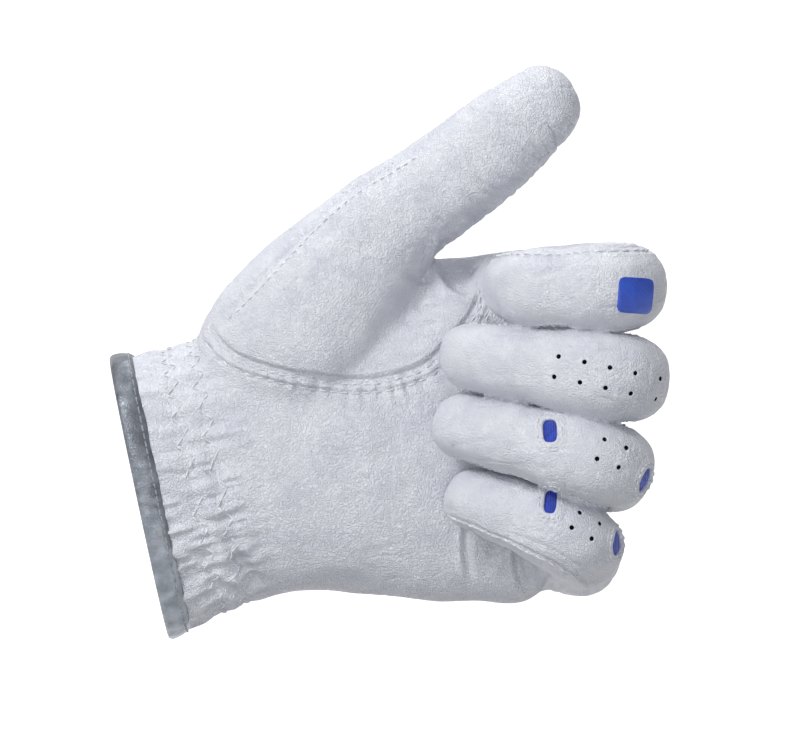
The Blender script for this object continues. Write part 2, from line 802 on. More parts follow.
def make(name: str, verts: np.ndarray, faces: list, finishes: list,
         indices: list[int] | None = None) -> bpy.types.Object:
    """Make a smooth piece from points in millimetres.

    Args:
        name: the piece's name.
        verts: its points.
        faces: the corners of each face, pointing out.
        finishes: the materials it wears.
        indices: which of them each face wears.

    Returns:
        The new object.
    """
    mesh = bpy.data.meshes.new(name)
    mesh.from_pydata((np.asarray(verts, float) * MM).tolist(), [], [tuple(int(k) for k in f) for f in faces])
    for finish in finishes:
        mesh.materials.append(finish)
    if indices is not None:
        mesh.polygons.foreach_set("material_index", np.asarray(indices, np.int32))
    mesh.polygons.foreach_set("use_smooth", np.ones(len(faces), bool))
    mesh.update()
    piece = bpy.data.objects.new(name, mesh)
    bpy.context.scene.collection.objects.link(piece)
    log.info("%s: %d faces", name, len(faces))
    return piece


def grid_faces(rows: int, columns: int, round_columns: bool,
               round_rows: bool = False) -> list[tuple[int, ...]]:
    """The faces of a grid of points, rows first, closed round either way if asked."""
    faces = []
    for i in range(rows if round_rows else rows - 1):
        for k in range(columns if round_columns else columns - 1):
            i2, k2 = (i + 1) % rows, (k + 1) % columns
            faces.append((i * columns + k, i * columns + k2, i2 * columns + k2, i2 * columns + k))
    return faces


class Surface:
    """The finished leather, to find places on."""

    def __init__(self, skin: Skin) -> None:
        """Keep a tree of the leather."""
        self.tree = skin.tree()

    def hit(self, origin: np.ndarray, aim: np.ndarray) -> tuple[np.ndarray, np.ndarray] | None:
        """The first place met from an origin along a direction, with the outward direction there."""
        spot, normal, _, _ = self.tree.ray_cast(Vector(origin), Vector(aim))
        if spot is None:
            return None
        return np.array(spot), np.array(normal)

    def near(self, point: np.ndarray) -> tuple[np.ndarray, np.ndarray]:
        """The nearest place on the leather, with the outward direction there."""
        spot, normal, _, _ = self.tree.find_nearest(Vector(point))
        return np.array(spot), np.array(normal)

    def drawn(self, line: np.ndarray, lifts: np.ndarray) -> np.ndarray:
        """A line of points put on the leather and lifted from it."""
        out = []
        for point, lift in zip(line, lifts):
            spot, normal = self.near(point)
            out.append(spot + normal * lift)
        return np.array(out)

    def from_front(self, flat: np.ndarray) -> np.ndarray:
        """Places on the side that faces the palm's viewer, at x and z."""
        out = []
        for x, z in flat:
            found = self.hit(np.array([x, -FAR, z]), BACKWARD)
            out.append(found[0] if found else [x, 0.0, z])
        return np.array(out)


STITCH_LIFTS = np.array([-0.22, 0.16, 0.24, 0.16, -0.22])


@dataclass
class Seamstress:
    """Sews rows of stitches into the leather."""

    surface: Surface
    thread: bpy.types.Material
    radius: float = 0.2
    lines: list = field(default_factory=list)

    def sew(self, ends: list[np.ndarray]) -> None:
        """Add a stitch between each pair of places."""
        for a, b in ends:
            line = np.linspace(a, b, len(STITCH_LIFTS))
            drawn = self.surface.drawn(line, STITCH_LIFTS)
            if np.linalg.norm(np.diff(drawn, axis=0), axis=1).max() < 1.6:
                self.lines.append(drawn)

    def row(self, track: Track, beside: float, low: float, high: float, pitch: float = 2.4) -> None:
        """Sew a row beside a line that is seen from the front.

        Args:
            track: the line.
            beside: how far to its left the row runs.
            low: where the row starts along it.
            high: how far before its end the row stops.
            pitch: the stitches' spacing.
        """
        starts = np.arange(low, track.length()[-1] - high, pitch)
        first = self.surface.from_front(track.at(starts, beside))
        last = self.surface.from_front(track.at(starts + pitch * 0.74, beside))
        behind = -24
        pairs = [(a, b) for a, b in zip(first, last) if np.linalg.norm(a - b) < 2 * pitch]
        self.sew([(a, b) for a, b in pairs if min(a[1], b[1]) > behind])

    def tree(self) -> bpy.types.NodeTree:
        """Nodes that turn lines into thread."""
        tree = bpy.data.node_groups.new("thread_from_lines", "GeometryNodeTree")
        tree.interface.new_socket("Geometry", in_out="INPUT", socket_type="NodeSocketGeometry")
        tree.interface.new_socket("Thread radius", in_out="INPUT", socket_type="NodeSocketFloat")
        tree.interface.new_socket("Geometry", in_out="OUTPUT", socket_type="NodeSocketGeometry")
        source = add(tree, "NodeGroupInput")
        curve = add(tree, "GeometryNodeMeshToCurve", {"Mesh": source.outputs["Geometry"]})
        ring = add(tree, "GeometryNodeCurvePrimitiveCircle",
                   {"Resolution": 6, "Radius": source.outputs["Thread radius"]})
        tube = add(tree, "GeometryNodeCurveToMesh",
                   {"Curve": curve.outputs["Curve"], "Profile Curve": ring.outputs["Curve"],
                    "Fill Caps": True})
        whole = add(tree, "GeometryNodeRealizeInstances", {"Geometry": tube.outputs["Mesh"]})
        dyed = add(tree, "GeometryNodeSetMaterial",
                   {"Geometry": whole.outputs["Geometry"], "Material": self.thread})
        add(tree, "NodeGroupOutput", {"Geometry": dyed.outputs["Geometry"]})
        return tree

    def finish(self, name: str, lines: list[np.ndarray], tree: bpy.types.NodeTree) -> bpy.types.Object:
        """Turn some of the stitches into one mesh of thread."""
        points = np.vstack(lines) * MM
        edges, start = [], 0
        for line in lines:
            edges += [(start + k, start + k + 1) for k in range(len(line) - 1)]
            start += len(line)
        mesh = bpy.data.meshes.new(name)
        mesh.from_pydata(points.tolist(), edges, [])
        piece = bpy.data.objects.new(name, mesh)
        bpy.context.scene.collection.objects.link(piece)
        modifier = piece.modifiers.new("thread", "NODES")
        modifier.node_group = tree
        for item in tree.interface.items_tree:
            if item.name == "Thread radius":
                modifier[item.identifier] = self.radius * MM
        graph = bpy.context.evaluated_depsgraph_get()
        baked = bpy.data.meshes.new_from_object(piece.evaluated_get(graph))
        piece.modifiers.clear()
        piece.data = baked
        baked.name = name
        baked.polygons.foreach_set("use_smooth", np.ones(len(baked.polygons), bool))
        log.info("%s: %d stitches", name, len(lines))
        return piece


# ---- finishes


def linear(text: str) -> tuple[float, float, float, float]:
    """A colour written as sRGB hex, as linear values."""
    parts = [int(text[k:k + 2], 16) / 255 for k in (1, 3, 5)]
    return (*[p / 12.92 if p <= 0.04045 else ((p + 0.055) / 1.055) ** 2.4 for p in parts], 1.0)


def add(tree: bpy.types.NodeTree, kind: str, inputs: dict | None = None, **settings) -> bpy.types.Node:
    """Add a node.

    Args:
        tree: where it goes.
        kind: the node's type name.
        inputs: values or outputs for its inputs, by name or number.
        settings: the node's own properties.

    Returns:
        The node.
    """
    node = tree.nodes.new(kind)
    for name, value in settings.items():
        setattr(node, name, value)
    for name, value in (inputs or {}).items():
        if isinstance(value, bpy.types.NodeSocket):
            tree.links.new(value, node.inputs[name])
        else:
            node.inputs[name].default_value = value
    return node


@dataclass(frozen=True)
class Finish:
    """A material made from a base colour, a second colour in patches, and grains of given sizes."""

    name: str
    light: str
    dark: str
    # how far apart the patches of the second colour are, in millimetres
    patch: float
    rough: tuple[float, float]
    # size in millimetres and height of each grain: cells, then fine noise, then wrinkles
    cells: tuple[float, float] = (0, 0)
    fine: tuple[float, float] = (0.3, 0.2)
    wrinkles: tuple[float, float] = (0, 0)
    ribs: tuple[float, float] = (0, 0)
    rib_turn: tuple[float, float, float] = (0, 0, 0)
    height: float = 0.25
    metallic: float = 0.0
    sheen: float = 0.0
    specular: float = 0.5
    coat: float = 0.0
    # how much the hollows of the cells are darkened
    soiled: float = 0.0

    def material(self) -> bpy.types.Material:
        """Build the material's nodes."""
        made = bpy.data.materials.new(self.name)
        made.use_nodes = True
        tree = made.node_tree
        tree.nodes.clear()
        place = add(tree, "ShaderNodeTexCoord")
        mm = add(tree, "ShaderNodeMapping",
                 {"Vector": place.outputs["Object"], "Scale": (1000, 1000, 1000)}).outputs[0]
        heights = []
        patches = add(tree, "ShaderNodeTexNoise",
                      {"Vector": mm, "Scale": 1 / self.patch, "Detail": 3.0}).outputs["Fac"]
        spread = add(tree, "ShaderNodeMapRange",
                     {"Value": patches, "From Min": 0.35, "From Max": 0.65}).outputs[0]
        colour = add(tree, "ShaderNodeMix", {0: spread, 6: linear(self.light), 7: linear(self.dark)},
                     data_type="RGBA").outputs[2]
        fine = add(tree, "ShaderNodeTexNoise",
                   {"Vector": mm, "Scale": 1 / self.fine[0], "Detail": 4.0}).outputs["Fac"]
        heights.append((fine, self.fine[1]))
        if self.cells[0]:
            bent = add(tree, "ShaderNodeTexNoise",
                       {"Vector": mm, "Scale": 0.8, "Detail": 2.0}).outputs["Color"]
            shift = add(tree, "ShaderNodeVectorMath", {0: bent, 1: (0.9, 0.9, 0.9)},
                        operation="MULTIPLY").outputs[0]
            moved = add(tree, "ShaderNodeVectorMath", {0: mm, 1: shift}, operation="ADD").outputs[0]
            cell = add(tree, "ShaderNodeTexVoronoi", {"Vector": moved, "Scale": 1 / self.cells[0]},
                       feature="DISTANCE_TO_EDGE")
            ridge = add(tree, "ShaderNodeMapRange", {"Value": cell.outputs["Distance"], "From Max": 0.28},
                        interpolation_type="SMOOTHSTEP").outputs[0]
            heights.append((ridge, self.cells[1]))
            if self.soiled:
                hollow = add(tree, "ShaderNodeMapRange",
                             {"Value": ridge, "To Min": self.soiled, "To Max": 0.0}).outputs[0]
                colour = add(tree, "ShaderNodeMix", {0: hollow, 6: colour, 7: linear(self.dark)},
                             data_type="RGBA").outputs[2]
        if self.wrinkles[0]:
            turned = add(tree, "ShaderNodeMapping",
                         {"Vector": mm, "Scale": (1.0, 1.0, 2.1), "Rotation": (0, 0.5, 0)}).outputs[0]
            fold = add(tree, "ShaderNodeTexNoise",
                       {"Vector": turned, "Scale": 1 / self.wrinkles[0], "Detail": 2.5,
                                                    "Distortion": 1.1}).outputs["Fac"]
            line = add(tree, "ShaderNodeMath", {0: fold, 1: 0.5}, operation="SUBTRACT").outputs[0]
            deep = add(tree, "ShaderNodeMath", {0: line}, operation="ABSOLUTE").outputs[0]
            crest = add(tree, "ShaderNodeMapRange", {"Value": deep, "From Max": 0.07},
                        interpolation_type="SMOOTHSTEP").outputs[0]
            heights.append((crest, self.wrinkles[1]))
        if self.ribs[0]:
            turned = add(tree, "ShaderNodeMapping", {"Vector": mm, "Rotation": self.rib_turn}).outputs[0]
            rib = add(tree, "ShaderNodeTexWave",
                      {"Vector": turned, "Scale": math.tau / 20 / self.ribs[0], "Distortion": 0.6,
                                                  "Detail": 1.0, "Detail Scale": 2.0}).outputs["Fac"]
            heights.append((rib, self.ribs[1]))
        total = None
        for height, weight in heights:
            part = add(tree, "ShaderNodeMath", {0: height, 1: weight}, operation="MULTIPLY").outputs[0]
            total = part if total is None else add(tree, "ShaderNodeMath", {0: total, 1: part},
                                                   operation="ADD").outputs[0]
        bump = add(tree, "ShaderNodeBump",
                   {"Height": total, "Strength": 1.0, "Distance": self.height * MM}).outputs[0]
        rough = add(tree, "ShaderNodeMapRange",
                    {"Value": fine, "From Min": 0.3, "From Max": 0.7, "To Min": self.rough[0],
                                                 "To Max": self.rough[1]}).outputs[0]
        shader = add(tree, "ShaderNodeBsdfPrincipled", {
            "Base Color": colour, "Roughness": rough, "Normal": bump, "Metallic": self.metallic,
            "Sheen Weight": self.sheen, "Specular IOR Level": self.specular, "Coat Weight": self.coat})
        add(tree, "ShaderNodeOutputMaterial", {"Surface": shader.outputs[0]})
        return made


# Full-grain hair-sheep leather, drum dyed white: fine pebbles, small wrinkles,
# a soft low gloss and a cold white.
SHEEPSKIN = Finish("white_sheepskin_leather", "#E9EBF1", "#DADDE6", 7.0, (0.42, 0.6), cells=(0.7, 0.75),
                   fine=(0.25, 0.2),
                   wrinkles=(7.0, 0.3), height=0.21, soiled=0.3)
# Foil-coated split leather: a grey metal look broken up by creases across the strip.
SILVER = Finish("silver_foiled_leather", "#858A91", "#6A6F76", 3.0, (0.34, 0.48), cells=(0.7, 0.3),
                fine=(0.3, 0.3),
                height=0.12, metallic=0.7)
# Woven ribs over rubber, bleached white.
ELASTIC = Finish("white_rib_elastic", "#ECEDEE", "#DADCDF", 3.0, (0.7, 0.9), ribs=(1.2, 1.0),
                 rib_turn=(0, 0, 0), height=0.3)
# Two-way polyamide and elastane knit, dyed royal blue: a fine rib with a little sheen from the filament yarn.
BLUE_KNIT = Finish("royal_blue_stretch_knit", "#1E46C4", "#1433A0", 1.4, (0.5, 0.75), ribs=(0.55, 0.8),
                   cells=(0.5, 0.4),
                   height=0.16, sheen=0.3)
# Soft polyester knit behind the opening, white.
GUSSET_KNIT = Finish("white_polyester_knit", "#E6E8EB", "#D3D6DB", 2.0, (0.75, 0.95), ribs=(0.8, 0.9),
                     height=0.2, sheen=0.2)
# Napped polyamide loop, white: a soft tangle.
LOOP_PILE = Finish("white_loop_pile", "#F4F5F7", "#E4E6E9", 1.2, (0.85, 1.0), cells=(0.45, 0.8),
                   fine=(0.18, 0.9), height=0.5,
                   sheen=0.5)
# Moulded polyamide hook tape, translucent white: rows of small stiff hooks.
HOOK_TAPE = Finish("white_hook_tape", "#DDDFE2", "#C4C7CC", 1.0, (0.35, 0.5), cells=(0.7, 1.2),
                   ribs=(1.4, 0.5), height=0.45)
# Bonded polyester thread, white, with its twist just visible.
THREAD = Finish("white_polyester_thread", "#F4F5F7", "#D5D8DE", 1.5, (0.4, 0.6), ribs=(0.4, 0.7),
                rib_turn=(0.5, 0.6, 0),
                height=0.1, sheen=0.15)
# The same thread dyed grey, in the binding.
GREY_THREAD = Finish("grey_polyester_thread", "#A9ADB4", "#8E9299", 1.5, (0.4, 0.6), ribs=(0.4, 0.7),
                     height=0.1)
# Screen-printed soft vinyl, royal blue, slightly glossy.
BLUE_PRINT = Finish("royal_blue_screen_print", "#2350C2", "#1D45B0", 3.0, (0.35, 0.5), cells=(0.85, 0.3),
                    height=0.1)
# Suede side of the leather, seen inside the cuff.
SUEDE = Finish("white_suede_side", "#DCDDDF", "#C6C8CC", 4.0, (0.85, 1.0), fine=(0.25, 1.0), height=0.3,
               sheen=0.3)
# The shaded inside of a punched hole.
HOLE = Finish("shaded_hole_wall", "#23262D", "#15171C", 1.0, (0.9, 1.0), height=0.05, specular=0.1)


# ---- windows, badge and holes


@dataclass(frozen=True)
class Oval:
    """An oval place on the leather, seen along a direction."""

    name: str
    centre: tuple[float, float, float]
    aim: tuple[float, float, float]
    up: tuple[float, float, float]
    half_w: float
    half_h: float
    power: float = 2.0
    # how far in front of it or behind it the leather may be
    reach: float = 7.0
    # how far in front of its centre to look at the leather from
    before: float = 9.0

    def frame(self) -> tuple[np.ndarray, np.ndarray, np.ndarray]:
        """Directions across, up and away from the viewer."""
        away = unit(np.array(self.aim, float))
        up = np.array(self.up, float)
        up = unit(up - away * (up @ away))
        return np.cross(up, away), up, away

    def flat(self, points: np.ndarray) -> np.ndarray:
        """Places across and up, in millimetres from the centre."""
        across, up, _ = self.frame()
        off = points - np.array(self.centre)
        return np.column_stack([off @ across, off @ up])

    def radius(self, flat: np.ndarray, margin: float = 0.0) -> np.ndarray:
        """1 on the oval's edge, less inside."""
        a, b = np.abs(flat[:, 0]) / (self.half_w + margin), np.abs(flat[:, 1]) / (self.half_h + margin)
        return (a**self.power + b**self.power) ** (1 / self.power)

    def near_side(self, points: np.ndarray) -> np.ndarray:
        """Whether points are on the side of the glove that the oval is on."""
        off = points - np.array(self.centre)
        return (np.abs(off @ self.frame()[2]) < self.reach) & (np.linalg.norm(off, axis=1) < 9)

    def places(self, surface: Surface, margins: list[float], columns: int) -> tuple[np.ndarray, np.ndarray]:
        """Places on the leather on rings round the oval.

        Args:
            surface: the leather.
            margins: how far out of the oval's edge each ring is.
            columns: points round each ring.

        Returns:
            The places and the outward directions there, ring after ring.
        """
        across, up, away = self.frame()
        spots, normals = [], []
        for margin in margins:
            for turn in np.arange(columns) * math.tau / columns:
                c, s = math.cos(turn), math.sin(turn)
                k = (abs(c) ** self.power + abs(s) ** self.power) ** (-1 / self.power)
                wide, high = self.half_w + margin, self.half_h + margin
                origin = np.array(self.centre) + across * c * k * wide + up * s * k * high
                origin = origin - away * self.before
                found = surface.hit(origin, away) or surface.near(origin + away * self.before)
                spots.append(found[0])
                normals.append(found[1])
        normals = unit(np.array(normals))
        return np.array(spots), unit(0.35 * normals + 0.65 * unit(normals.mean(0)))

    def cut(self, skin: Skin, margin: float) -> np.ndarray:
        """Move the skin's points onto the oval's edge, and mark the faces inside it."""
        near = self.near_side(skin.verts)
        flat = self.flat(skin.verts)
        r = self.radius(flat, margin)
        step = 0.36 / (min(self.half_w, self.half_h) + margin)
        edge = near & (np.abs(r - 1) < step)
        across, up, _ = self.frame()
        move = flat[edge] * (1 / r[edge] - 1)[:, None]
        skin.verts[edge] += move[:, :1] * across + move[:, 1:] * up
        centres = skin.verts[skin.quads].mean(1)
        return self.near_side(centres) & (self.radius(self.flat(centres), margin) < 1)

    def sheet(self, surface: Surface, name: str, lifts: dict[float, float], finish: bpy.types.Material,
              columns: int = 48) -> bpy.types.Object:
        """A patch or a ring over the oval.

        Args:
            surface: the leather.
            name: the piece's name.
            lifts: how far above the leather it is at each margin out of the edge, outermost first.
            finish: its material.
            columns: points round it.

        Returns:
            The new piece, closed in the middle if its last margin is inside the oval.
        """
        margins = list(lifts)
        spots, normals = self.places(surface, margins, columns)
        tops = spots + normals * np.repeat(list(lifts.values()), columns)[:, None]
        # a patch's middle faces one way, so that its lifts don't tangle
        faces = [f[::-1] for f in grid_faces(len(margins), columns, True)]
        if margins[-1] < -0.5:
            middle = len(tops)
            last = (len(margins) - 1) * columns
            peak = surface.near(spots[last:].mean(0))[0] + normals[last] * lifts[margins[-1]]
            tops = np.vstack([tops, peak])
            faces += [(last + k, middle, last + (k + 1) % columns) for k in range(columns)]
        piece = make(name, tops, faces, [finish])
        face_out(piece, -np.array(self.frame()[2]))
        return piece

    def stitches(self, surface: Surface, margin: float = 1.15, count: int = 15) -> list[np.ndarray]:
        """Lines of thread round the oval's rim."""
        lines = []
        spots, normals = self.places(surface, [margin], count * 8)
        for k in range(0, count * 8, 8):
            rows = [(k + j) % (count * 8) for j in (0, 1, 3, 4, 6)]
            lifts = 0.22 + STITCH_LIFTS
            lines.append(np.array([spots[r] + normals[r] * lift for r, lift in zip(rows, lifts)]))
        return lines


def face_out(piece: bpy.types.Object, out: np.ndarray) -> None:
    """Turn a sheet's faces over if most of them face away from a direction."""
    mesh = piece.data
    normals = np.empty(len(mesh.polygons) * 3)
    mesh.polygons.foreach_get("normal", normals)
    areas = np.empty(len(mesh.polygons))
    mesh.polygons.foreach_get("area", areas)
    if (areas * (normals.reshape(-1, 3) @ out)).sum() < 0:
        mesh.flip_normals()


def solid_out(piece: bpy.types.Object) -> bpy.types.Object:
    """Turn a closed solid's faces over if they face in."""
    volume = sum(p.area * Vector(p.center).dot(p.normal) for p in piece.data.polygons)
    if volume < 0:
        piece.data.flip_normals()
    return piece


WINDOWS = (
    Oval("ring_joint_window", (94.2, -46, 15.5), (0, 1, 0), (-0.04, 0, 1), 1.65, 2.65, 3.4),
    Oval("little_joint_window", (94.4, -40, -0.9), (0, 1, 0), (0.12, 0, 1), 1.45, 2.6, 3.4),
    Oval("ring_knuckle_window", (116, -40, 4.2), (-0.85, 0.5, 0.2), (0.1, 0.1, 1), 2.6, 3.0),
    Oval("little_knuckle_window", (108, -32, -9.7), (-0.8, 0.5, 0.35), (0.2, 0.2, 1), 2.4, 2.8),
)
BADGE = Oval("index_badge", (113.3, -44, 46.6), (-0.12, 1, 0), (0.06, 0, 1), 4.3, 4.05, 7.0)
# how far out of the edge each ring of a sheet is, and how far above the leather
CLOTH_LIFTS = {0.75: -0.55, 0.3: -0.5, -0.2: -0.42, -0.7: -0.34, -1.1: -0.3}
RIM_LIFTS = {2.3: -0.05, 2.0: 0.12, 1.5: 0.3, 1.1: 0.16, 0.7: 0.42, 0.3: 0.5, 0.0: 0.3, -0.05: -0.1,
             0.1: -0.6}
BADGE_LIFTS = {0.08: -0.05, 0.05: 0.09, 0.0: 0.14, **{-0.4 * k: 0.15 for k in range(1, 10)}}


# ---- the leather


PIECES = {
    "palm": ("palm_panel", "thumb_panel", "thumb_gusset"),
    "back": ("back_panel", "thumb_back_panel"),
    "thumb_root": ("thumb_root_sleeve", "thumb_lower_front", "thumb_lower_back"),
    "thumb_end": ("thumb_joint_sleeve", "thumb_tip_front", "thumb_tip_back"),
}
FINGER_PIECES = {
    "root": ("root_sleeve", "lower_back", "lower_front"),
    "knuckle": ("knuckle_sleeve", "middle_back", "middle_front"),
    "end": ("joint_sleeve", "tip_back", "tip_front"),
}
# where each finger's leather is divided: along its first bone, then along its second
DIVIDES = {"index": (24.0, 14.2), "middle": (25.0, 19.0), "ring": (23.0, 17.5), "little": (18.7, 14.5)}
THUMB_DIVIDE = (np.array([73.5, 0.0, 74.5]), np.array([0.788, 0.0, 0.616]))


@dataclass
class Leather:
    """The whole leather shell of the glove, with its seams, folds and openings."""

    voxel: float = 0.45
    # a point is on a limb when it is less than this many times as far out as the limb's own surface
    near_thumb: float = 1.14
    near_finger: float = 1.25
    # and in line with a finger's root within this many half widths
    in_line: float = 1.9
    # how far before the middle knuckle a finger's own stretch starts
    before_knuckle: float = 8.0
    hand: HandForm = field(default_factory=HandForm)
    thumb: ThumbForm = field(default_factory=ThumbForm)
    gathers: Gathers = field(default_factory=Gathers)
    noise: Noise = field(default_factory=lambda: Noise(11))

    def shape(self) -> None:
        """Make the surface and press its seams and folds into it."""
        bodies = [loft("hand_form", self.hand.rings(), 96), loft("thumb_form", self.thumb.rings(), 72)]
        bodies += [loft(f.name + "_form", f.rings()) for f in FINGERS]
        self.skin = Skin.over(bodies, self.voxel)
        log.info("surface: %d points", len(self.skin.verts))
        self.owners = self.owned(self.skin.verts)
        self._even()
        self.skin.push(self._folds())
        self.skin.relax(1, 0.7)
        self.surface = Surface(self.skin)

    def owned(self, points: np.ndarray) -> np.ndarray:
        """Which limb each point belongs to."""
        self.thumb_at = LimbField(self.thumb.rings(), points)
        on_thumb = THUMB_BENDS[0].past_start(points) & (self.thumb_at.fill < self.near_thumb)
        owners = np.where(on_thumb, int(Limb.THUMB), int(Limb.HAND))
        fields = [LimbField(form.rings(), points) for form in FINGERS]
        fills = np.array([at.fill for at in fields])
        nearest, close = fills.argmin(0), fills.min(0) < self.near_finger
        self.distal = np.zeros(len(points), bool)
        beside = np.full(len(points), self.in_line)
        for k, (form, at) in enumerate(zip(FINGERS, fields)):
            # a point belongs to the finger that it lies on, from the middle knuckle on in every case
            on_it = close & (nearest == k)
            far = on_it & (at.along > FingerLook(form).joints_at()[1] - self.before_knuckle)
            self.distal |= far
            on_it = far | on_it & ~on_thumb & finger_bends(form)[0].past_start(points)
            owners[on_it], beside[on_it] = Limb.INDEX + k, -1
        for k, form in enumerate(FINGERS):
            # between the fingers it belongs to the one whose root it is in line with
            side = np.abs((points - form.corners[0]) @ form.across) / form.widths[0]
            mine = ~on_thumb & finger_bends(form)[0].past_start(points) & (side < beside)
            owners[mine], beside[mine] = Limb.INDEX + k, side[mine]
        return owners

    def _even(self) -> None:
        """Round off the joins between the limbs."""
        points, skin = self.skin.verts, self.skin
        skin.relax(5)
        along = points @ CUFF_AHEAD
        join = bell(self.thumb_at.fill - 1, 0.22) * smooth(along, 12, 20) * (1 - smooth(points[:, 0], 58, 68))
        join *= 1 - smooth(points[:, 2], 46, 54)
        knuckles = smooth(points[:, 0], 82, 90) * smooth(points[:, 1], -9, -2) * 0.75
        web = bell(np.linalg.norm((points - [73, -8, 56]) / [9, 14, 8], axis=1), 0.8) * 0.8
        weight = np.clip(join + knuckles + web, 0, 1)
        skin.melt(70, weight)
        skin.melt(6, np.full(len(points), 0.5))

    def _folds(self) -> np.ndarray:
        """How far each point of the leather is pushed out or in."""
        points = self.skin.verts
        flat = points[:, [0, 2]]
        front = smooth(-self.skin.normals()[:, 1], -0.1, 0.35)
        hand = (self.owners < Limb.INDEX) * 1.0
        depth = np.zeros(len(points))
        palm = front * hand
        depth += palm * self._thumb_edge(flat)
        depth += hand * self._top_seam(flat)
        depth += palm * (flat[:, 0] > 60) * self._web(flat, points)
        lower = (points[:, 1] > -23) & (self.owners == Limb.HAND)
        lower |= (points[:, 1] > -20) & (self.owners == Limb.LITTLE)
        for crease in PALM_CREASES:
            depth += front * lower * crease.depth_at(flat)
        closed = 1 - smooth(points[:, 1], 6, 13) * bell(flat[:, 1] - 5, 26)
        depth += hand * closed * self.gathers.depth_at(points)
        for k, form in enumerate(FINGERS):
            mine = self.owners == Limb.INDEX + k
            look = FingerLook(form, noise_seed=20 + k)
            depth[mine] += look.depth_at(LimbField(form.rings(), points[mine]), points[mine])
        depth += (self.owners == Limb.THUMB) * self._thumb_wrinkles(points)
        depth += self._slack(points) * (1 - 0.5 * (self.owners > Limb.THUMB))
        return depth

    def _thumb_edge(self, flat: np.ndarray) -> np.ndarray:
        """The raised edge over the ball of the thumb, its two stitched rows and the puckers between them."""
        along, beside, gap = THUMB_SEAM.near(flat)
        total = THUMB_SEAM.length()[-1]
        live = smooth(along, 0.5, 4) * (1 - smooth(along, total - 5, total - 0.5)) * smooth(gap, 30, 14)
        raised = 0.65 * smooth(beside, -0.25, 0.3) * (1 - smooth(beside, 2, 13))
        groove = -0.42 * bell(beside + 0.4, 0.4)
        rows = -0.42 * bell(beside + 1.7, 0.4) - 0.42 * bell(beside + 3.7, 0.4)
        roll = 0.36 * bell(beside + 2.7, 0.55)
        wander = self.noise.at(np.column_stack([along, along * 0, along * 0]), 5)
        phase = along * math.tau / 3.4 + 1.6 * wander
        deeper = 0.4 + 0.6 * smooth(along, 18, 50)
        pinch = deeper * (0.42 * np.cos(phase)) * (bell(beside + 2.9, 1.3) + 0.35 * bell(beside + 6, 1.8))
        return live * (raised + groove + rows + roll + pinch)

    def _top_seam(self, flat: np.ndarray) -> np.ndarray:
        """The seam along the thumb's upper outline: a groove and a rolled edge outside it."""
        along, beside, _ = TOP_SEAM.near(flat)
        total = TOP_SEAM.length()[-1]
        live = smooth(along, 0.5, 4) * (1 - smooth(along, total - 9, total))
        wave = 0.25 * np.cos(along * math.tau / 2.4)
        rolled = (0.4 + wave * 0.4) * bell(beside - 1.1, 0.6)
        return live * (-0.55 * bell(beside - 0.3, 0.4) + rolled + 0.2 * bell(beside + 1.3, 0.7))

    def _web(self, flat: np.ndarray, points: np.ndarray) -> np.ndarray:
        """The hollow between the thumb and the index finger, behind a rolled edge."""
        along, beside, _ = WEB_EDGE.near(flat)
        total = WEB_EDGE.length()[-1]
        live = smooth(along, -1, 2) * (1 - smooth(along, total - 4, total + 1)) * (points[:, 1] > -26)
        hollow = -3.0 * smooth(beside, 0.2, 2.4) * (1 - smooth(beside, 8, 12))
        return live * (hollow + 0.75 * bell(beside + 0.5, 0.7))

    def _thumb_wrinkles(self, points: np.ndarray) -> np.ndarray:
        """Small folds across the thumb, strongest on its lower side."""
        at = self.thumb_at
        flat = np.column_stack([at.along, at.angle * 0.2, at.angle * 0])
        bent = at.along + 1.4 * self.noise.at(flat, (40, 7, 9)) + 0.012 * at.angle
        tip = at.along.max()
        low = (0.25 + 0.75 * smooth(-at.side, 0, 9)) * (1 - smooth(at.along, tip - 9, tip - 3))
        fold = np.abs(self.noise.at(np.column_stack([bent, at.angle * 0.03, at.angle * 0]), (1.9, 1.2, 1)))
        fine = self.noise.at(np.column_stack([bent * 1.0, at.angle * 0.1, at.angle * 0 + 30]), (1.3, 2.5, 1))
        return low * (0.3 - 0.62 * (1 - fold) ** 4) * 0.9 + 0.14 * low * fine

    def _slack(self, points: np.ndarray) -> np.ndarray:
        """The low unevenness of soft leather over a hand."""
        broad = 0.34 * self.noise.at(points, (13, 13, 11)) + 0.16 * self.noise.at(points + 31, 5.0)
        line = 1 - np.abs(self.noise.at(points + 77, (6.5, 6.5, 4.6)))
        fold = -0.42 * np.clip(line - 0.86, 0, 1) / 0.14
        return broad + 0.5 * fold * smooth(self.noise.at(points + 120, 16), -0.2, 0.5)

    def open_up(self) -> None:
        """Cut the cuff's edge, the slit in the back, the windows and the air holes."""
        skin = self.skin
        along = skin.verts @ CUFF_AHEAD
        keep = along[skin.quads].max(1) > 0.02
        low = along < 0
        skin.verts[low] -= along[low][:, None] * CUFF_AHEAD
        gone = ~keep
        for window in WINDOWS:
            gone |= window.cut(skin, 0.15)
        gone |= Slit().cut(skin)
        for x, z in self.hole_places():
            spot, normal = self.surface.hit(np.array([x, -FAR, z]), BACKWARD)
            gone |= Oval("hole", tuple(spot), tuple(-normal), (0, 0, 1), 0.85, 0.85, reach=1.2).cut(skin, 0)
        self.gone = gone

    def hole_places(self) -> list[tuple[float, float]]:
        """x and z of every air hole."""
        return [place for row in HOLES for place in row.places()]

